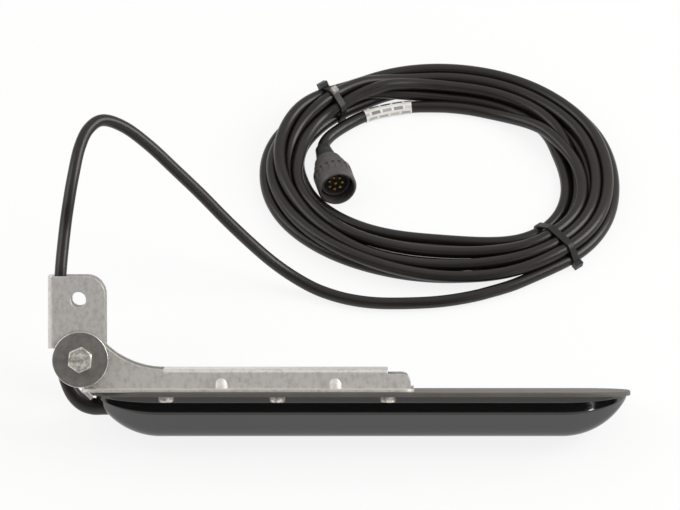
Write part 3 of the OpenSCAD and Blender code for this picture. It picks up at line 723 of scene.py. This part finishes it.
@dataclass
class Cable:
    """The cable from the hull's gland through the bracket to the coil and the connector, in millimetres.

    The upright points are in the hull's drawing frame; the arch, the tail and the connector lie in the
    table's. The first stretch ends at the split, and relief_r gives its radius at each point up to there.
    The second one starts lap_steps inside it, and the lead's last shared stretches are drawn with the coil.
    The label lies between two points of the tail, found among the run's last points.
    """

    diameter: float = 6.0
    split: int = 8
    coil: CableCoil = field(default_factory=CableCoil)
    upright: tuple[tuple[float, float, float], ...] = (
        (11.9, 0, 14.4), (6, 0, 14.4), (0.5, 0, 14.4), (-4.5, 0, 16), (-9, 0, 20), (-12.3, 0, 26),
        (-14.5, 0, 33), (-15.4, 0, 40), (-15.5, 0, 52), (-15.4, 0, 66), (-15.4, 0, 80))
    arch: tuple[tuple[float, float, float], ...] = (
        (-134.4, 44, 73), (-132.4, 55.6, 82), (-130.3, 66.3, 88.5), (-127.5, 80.1, 93),
        (-123.2, 91.4, 94.5), (-116.2, 98.7, 93), (-105.5, 99.8, 86.5), (-93.3, 96.5, 76.5),
        (-81.1, 92.4, 64), (-68.9, 88.4, 51), (-54.2, 82.7, 35), (-39.4, 77.7, 20), (-28.5, 73.7, 11.5),
        (-17.1, 69, 6), (-7.2, 65.1, 3.6), (5.2, 60.7, 3.3), (20, 58.4, 3.2), (39.8, 58.7, 3.1),
        (54.7, 60.5, 3), (69.6, 64.2, 3), (83.5, 69.5, 3), (93, 74.5, 3))
    tail: tuple[tuple[float, float, float], ...] = (
        (36, 191, 3.2), (24, 188.6, 3.3), (12.5, 184.4, 3.4), (3, 178, 3.4), (-3.8, 171.8, 3.4),
        (-7.4, 166.4, 3.4))
    relief_r: tuple[float, ...] = (4.2, 4.2, 4.2, 4.1, 3.8, 3.4, 3.1, 3.0, 3.0)
    connector_at: tuple[float, float, float] = (-8.2, 161, 3.88)
    connector_dir: tuple[float, float, float] = (0.2017, -0.94894, 0.24254)
    boot_l: float = 8.0
    lead_steps: int = 10
    lap_steps: int = 6
    shared: int = 2
    coil_steps: int = 3
    coil_stride: int = 3
    film_t: float = 0.35
    label_ends: tuple[int, int] = (0, 2)
    label_search: int = 60

    def build(self) -> None:
        """Makes the two stretches of cable, the label and the ties, hides the CAD cable and logs the
        stretches' lengths.
        """
        lead = np.vstack([REST.to_table(np.array(self.upright)), np.array(self.arch)])
        lead_run = smooth_run(lead, self.lead_steps)
        cut = self.split * self.lead_steps
        inner_path = lead_run[:cut + 1]
        coil_run = self.coil_run(lead)
        lead_end = len(lead_run) - self.shared * self.lead_steps - 1
        outer_path = np.vstack([lead_run[cut - self.lap_steps:lead_end], coil_run])
        at = np.arange(cut + 1) / self.lead_steps
        relief = np.interp(at, range(self.split + 1), self.relief_r)
        inner = tube_piece("cable_in_bracket", inner_path, relief, JACKET, sides=24)
        outer = tube_piece("cable_run", outer_path, self.diameter / 2, JACKET, sides=18)
        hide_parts("cable_lead")
        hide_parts("cable_coil", "cable_tail")
        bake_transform(inner)
        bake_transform(outer)
        extras = [self.make_label(coil_run), *CableTies(self.coil).build()]
        for name, path in (("cable_in_bracket", inner_path), ("cable_run", outer_path)):
            LOG.info("%s: %.3f m long", name, run_length(path) * MM)

    def coil_run(self, lead: np.ndarray) -> np.ndarray:
        """Draws the run from the lead's last points round the coil and along the tail into the boot.

        Args:
            lead: Points of the cable up to the coil, in millimetres.

        Returns:
            Points of the smooth run, in millimetres.
        """
        start = np.array(self.connector_at)
        in_boot = start + self.boot_l * np.array(self.connector_dir)
        turns = self.coil.points()[::self.coil_stride]
        route = np.vstack([lead[-self.shared - 1:], turns, np.array(self.tail), start, in_boot])
        return smooth_run(route, self.coil_steps)

    def make_label(self, run: np.ndarray) -> bpy.types.Object:
        """Wraps the label round the run's end, between two points of the tail."""
        before = len(run) - self.label_search
        ends = [np.array(self.tail[k]) for k in self.label_ends]
        first, last = (before + int(np.linalg.norm(run[before:] - p, axis=1).argmin()) for p in ends)
        path = smooth_run(run[first:last + 1], self.coil_steps)
        label = tube_piece("cable_wrap_label", path, self.diameter / 2 + self.film_t, LABEL_FILM, sides=28)
        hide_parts("cable_label")
        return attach(label, Body.HOUSING.value)


@dataclass
class Hull:
    """Moulded hull: round bilges, sloping flanks, a steep band and a lip, lofted from end to end.

    The band starts a little lower than in the driving dimensions, which set the resting angle. The shares
    say how much of the flank stays straight, how much of the band its eased lower corner takes and how
    much of an ellipse each rounded end runs through.
    """

    sizes: HousingSizes = SIZES
    end_gap: float = 2.0
    end_h: float = 1.5
    band_z: float = 11.3
    rim_out: float = 0.1
    rim_drop: float = 3.4
    lip: float = 0.8
    lip_drop: float = 2.9
    lip_flare: float = 0.4
    lip_sag: tuple[float, float] = (0.12, -0.1)
    flank_share: float = 0.86
    ease_share: float = 0.16
    nose_share: float = 0.985
    stations: int = 260

    def half_section(self) -> np.ndarray:
        """Gives the section from keel to rim: keel, bilge arc, flank, eased corner, band and lip."""
        s = self.sizes
        keel = np.stack([np.linspace(0, s.bilge_y, 6), np.zeros(6)], -1)
        a = np.linspace(-np.pi / 2, -s.flank, 22)[1:]
        arc = np.stack([s.bilge_y + s.bilge_r * np.cos(a), s.bilge_r + s.bilge_r * np.sin(a)], -1)
        top = np.array([s.hull_half_w, self.band_z])
        flank = arc[-1] + (top - arc[-1]) * np.linspace(0, self.flank_share, 10)[1:, None]
        rim = np.array([s.hull_half_w + self.rim_out, s.hull_depth - self.rim_drop])
        ease = self.bend(flank[-1], top, top + (rim - top) * self.ease_share, 7)
        band = ease[-1] + (rim - ease[-1]) * np.linspace(0, 1, 6)[1:, None]
        foot = np.array([s.hull_half_w + self.lip, s.hull_depth - self.lip_drop])
        step = self.bend(rim, (rim + foot) / 2 + np.array(self.lip_sag), foot, 6)
        edge = np.array([s.hull_half_w + self.lip + self.lip_flare, s.hull_depth])
        rise = foot + (edge - foot) * np.linspace(0, 1, 6)[1:, None]
        return np.vstack([keel, arc, flank, ease, band, step, rise])

    @staticmethod
    def bend(a: np.ndarray, b: np.ndarray, c: np.ndarray, count: int) -> np.ndarray:
        """Gives a parabola from a to c that leaves and arrives towards b, without its first point."""
        t = np.linspace(0, 1, count)[1:, None]
        return (1 - t) ** 2 * a + 2 * t * (1 - t) * b + t ** 2 * c

    def build(self) -> bpy.types.Object:
        """Lofts the section: its beam follows an ellipse at the ends and its keel rises on an arc."""
        s = self.sizes
        half = self.half_section()
        section = np.vstack([half[::-1] * [-1, 1], half[1:]])
        share = np.linspace(0, np.pi, self.stations)
        x = s.lid_l / 2 - (s.lid_l / 2 - self.end_gap) * np.cos(share)
        end = np.minimum(x, s.lid_l - x) - self.end_gap
        run = math.sqrt(s.stem_r ** 2 - (s.stem_r - s.hull_depth + self.end_h) ** 2)
        beam = np.sqrt(1 - (np.clip((s.nose_l - end) / s.nose_l, 0, 1) * self.nose_share) ** 2)
        rise = s.stem_r - np.sqrt(s.stem_r ** 2 - np.clip(run - end, 0, None) ** 2)
        y = section[None, :, 0] * beam[:, None]
        z = rise[:, None] + section[None, :, 1] * (1 - rise / s.hull_depth)[:, None]
        points = np.stack([np.broadcast_to(x[:, None], y.shape), y, z], axis=-1)
        m = len(section)
        quads = grid_faces(self.stations, m, False, True)
        last = (self.stations - 1) * m
        caps = [list(range(m)), [last + k for k in range(m - 1, -1, -1)]]
        hull = make_piece("hull_moulding", REST.to_table(points).reshape(-1, 3),
                          [*quads.tolist(), *caps], HULL_GLOSS, crease=30)
        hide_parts("hull_shell")
        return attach(hull, Body.HOUSING.value)


@dataclass
class Lid:
    """Flat cover with rounded ends and eased edges."""

    sizes: HousingSizes = SIZES
    ease: float = 0.5
    face_inset: float = 3.0
    corner_points: int = 25

    def outline(self, inset: float) -> np.ndarray:
        """Gives the plan outline, moved in by a distance: straight sides and quarter-circle corners."""
        r = self.sizes.lid_corner_r
        far_x, side_y = self.sizes.lid_l - r, self.sizes.lid_half_w - r
        parts = []
        for x, y, start in ((far_x, side_y, 0), (r, side_y, 90), (r, -side_y, 180), (far_x, -side_y, 270)):
            a = np.radians(np.linspace(start, start + 90, self.corner_points))
            parts.append(np.stack([x + (r - inset) * np.cos(a), y + (r - inset) * np.sin(a)], -1))
        return np.vstack(parts)

    def build(self) -> bpy.types.Object:
        """Stacks outlines from the lower face over both eased edges to the upper face."""
        low_z = self.sizes.hull_depth
        top_z = low_z + self.sizes.lid_t
        a = np.radians(np.linspace(-90, 0, 5))
        low = [(self.ease * (1 - math.cos(t)), low_z + self.ease * (1 + math.sin(t))) for t in a]
        high = [(inset, low_z + top_z - z) for inset, z in reversed(low)]
        rings = [(self.face_inset, low_z), *low, *high, (self.face_inset, top_z)]
        count = 4 * self.corner_points
        outlines = [np.column_stack([self.outline(inset), np.full(count, z)]) for inset, z in rings]
        quads = grid_faces(len(rings), count, False, True)[:, ::-1]
        last = (len(rings) - 1) * count
        caps = [list(range(count - 1, -1, -1)), [last + k for k in range(count)]]
        lid = make_piece("lid_cover", REST.to_table(np.vstack(outlines)), [*quads.tolist(), *caps],
                         LID_SATIN, crease=30)
        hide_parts("lid")
        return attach(lid, Body.HOUSING.value)


@dataclass(frozen=True)
class Lamp:
    """A square lamp: its name, its place and size in metres and its power in watts."""

    name: str
    at: tuple[float, float, float]
    size: float
    watts: float


@dataclass
class Studio:
    """Pale floor, soft lamps and a long-lens camera at the photograph's viewing angle, in metres.

    The room is lit evenly apart from a dark band. The edges of the band are sines of the angle from its
    middle plane and towards the viewer, from where it fades to where it ends.
    """

    camera_at: tuple[float, float, float] = (0.00022, -3.33547, 3.79486)
    pitch_deg: float = 47.9
    lens: float = 543.97
    sensor: float = 36.0
    floor_half: float = 6.0
    floor_colour: str = "#f4f3f1"
    floor_glow: float = 0.85
    toward_viewer: tuple[float, float, float] = (0.0, -0.69, 0.724)
    over_hull: tuple[float, float, float] = (0.0, 0.724, 0.69)
    band_edge: tuple[float, float] = (0.11, 0.26)
    viewer_edge: tuple[float, float] = (-0.1, 0.25)
    room_level: float = 0.62
    band_level: float = 0.03
    room_colour: tuple[float, float, float, float] = (1.0, 0.99, 0.98, 1.0)
    lamps: tuple[Lamp, ...] = (
        Lamp("back_lamp", (0.1, 0.9, 1.1), 1.6, 1.5),
        Lamp("left_lamp", (-1.2, 0.1, 0.9), 1.0, 6.0),
        Lamp("right_lamp", (1.2, 0.1, 0.9), 1.0, 15.0),
        Lamp("bow_lamp", (0.75, -0.96, 0.68), 0.16, 0.8),
    )
    lamps_face: tuple[float, float, float] = (0.0, 0.08, 0.0)

    def camera(self) -> None:
        """Sets up the camera, level and looking along +Y and down."""
        data = bpy.data.cameras.new("camera")
        data.sensor_width = self.sensor
        data.lens = self.lens
        camera = bpy.data.objects.new("camera", data)
        camera.location = self.camera_at
        camera.rotation_euler = (math.radians(90 - self.pitch_deg), 0, 0)
        bpy.context.scene.collection.objects.link(camera)
        bpy.context.scene.camera = camera

    @staticmethod
    def seen(tree: bpy.types.NodeTree) -> bpy.types.NodeSocket:
        """Gives 1 for rays of the camera, of gloss and through glass."""
        path = add_node(tree, "ShaderNodeLightPath")
        first = add_node(tree, "ShaderNodeMath", {
            0: path.outputs["Is Camera Ray"], 1: path.outputs["Is Glossy Ray"],
        }, operation="MAXIMUM")
        both = add_node(tree, "ShaderNodeMath", {
            0: first.outputs["Value"], 1: path.outputs["Is Transmission Ray"],
        }, operation="MAXIMUM")
        return both.outputs["Value"]

    def floor(self) -> None:
        """Lays a pale floor that glows for the camera and in mirrors, and still keeps soft shadows."""
        h = self.floor_half
        mesh = bpy.data.meshes.new("floor")
        mesh.from_pydata([(-h, -h, 0), (h, -h, 0), (h, h, 0), (-h, h, 0)], [], [(0, 1, 2, 3)])
        material = bpy.data.materials.new("pale_card")
        material.use_nodes = True
        tree = material.node_tree
        tree.nodes.clear()
        matt = add_node(tree, "ShaderNodeBsdfDiffuse", {"Color": linear(self.floor_colour)})
        glow = add_node(tree, "ShaderNodeEmission", {"Color": WHITE, "Strength": 1.0})
        share = add_node(tree, "ShaderNodeMath", {
            0: self.seen(tree), 1: self.floor_glow,
        }, operation="MULTIPLY")
        mixed = add_node(tree, "ShaderNodeMixShader", {
            0: share.outputs["Value"], 1: matt.outputs["BSDF"], 2: glow.outputs["Emission"],
        })
        add_node(tree, "ShaderNodeOutputMaterial", {"Surface": mixed.outputs["Shader"]})
        mesh.materials.append(material)
        floor = bpy.data.objects.new("floor", mesh)
        bpy.context.scene.collection.objects.link(floor)

    def world(self) -> None:
        """Paints the room: pale all round, with a dark band behind the viewer, along the hull."""
        world = bpy.data.worlds.new("room")
        bpy.context.scene.world = world
        world.use_nodes = True
        tree = world.node_tree
        tree.nodes.clear()
        place = add_node(tree, "ShaderNodeTexCoord")
        over = add_node(tree, "ShaderNodeVectorMath", {
            0: place.outputs["Generated"], 1: self.over_hull,
        }, operation="DOT_PRODUCT")
        away = add_node(tree, "ShaderNodeMath", {0: over.outputs["Value"]}, operation="ABSOLUTE")
        beside = add_node(tree, "ShaderNodeMapRange", {
            "Value": away.outputs["Value"],
            "From Min": self.band_edge[0], "From Max": self.band_edge[1], "To Min": 1.0, "To Max": 0.0,
        }, clamp=True)
        toward = add_node(tree, "ShaderNodeVectorMath", {
            0: place.outputs["Generated"], 1: self.toward_viewer,
        }, operation="DOT_PRODUCT")
        near = add_node(tree, "ShaderNodeMapRange", {
            "Value": toward.outputs["Value"],
            "From Min": self.viewer_edge[0], "From Max": self.viewer_edge[1],
        }, clamp=True)
        dark = add_node(tree, "ShaderNodeMath", {
            0: beside.outputs["Result"], 1: near.outputs["Result"],
        }, operation="MULTIPLY")
        room = add_node(tree, "ShaderNodeMapRange", {
            "Value": dark.outputs["Value"], "To Min": self.room_level, "To Max": self.band_level,
        }, clamp=True)
        path = add_node(tree, "ShaderNodeLightPath")
        strength = add_node(tree, "ShaderNodeMix", {
            "Factor": path.outputs["Is Camera Ray"], "A": room.outputs["Result"], "B": 1.0,
        }, data_type="FLOAT")
        back = add_node(tree, "ShaderNodeBackground", {
            "Color": self.room_colour, "Strength": strength.outputs["Result"],
        })
        add_node(tree, "ShaderNodeOutputWorld", {"Surface": back.outputs["Background"]})

    def hang_lamps(self) -> None:
        """Hangs soft lamps over the back and at each side, and a small one that gleams at the bow."""
        for lamp in self.lamps:
            data = bpy.data.lights.new(lamp.name, "AREA")
            data.size = lamp.size
            data.energy = lamp.watts
            hung = bpy.data.objects.new(lamp.name, data)
            hung.location = lamp.at
            hung.rotation_mode = "QUATERNION"
            hung.rotation_quaternion = (Vector(self.lamps_face) - Vector(lamp.at)).to_track_quat("-Z", "Y")
            bpy.context.scene.collection.objects.link(hung)

    def build(self) -> None:
        """Sets up camera, floor, room and lamps."""
        bpy.context.scene.view_settings.view_transform = "Standard"
        self.camera()
        self.floor()
        self.world()
        self.hang_lamps()


def dress_nodes() -> None:
    """Gives each CAD node that stays its finish."""
    for node, finish in NODE_FINISHES.items():
        mesh = bpy.data.objects[node].data
        material = finish.build()
        if not mesh.materials:
            mesh.materials.append(material)
        for i in range(len(mesh.materials)):
            mesh.materials[i] = material


def main() -> None:
    """Builds the scene."""
    logging.basicConfig(level=logging.INFO, format="%(message)s")
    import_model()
    Studio().build()
    Cable().build()
    Hull().build()
    Lid().build()
    dress_nodes()


if __name__ == "__main__":
    main()
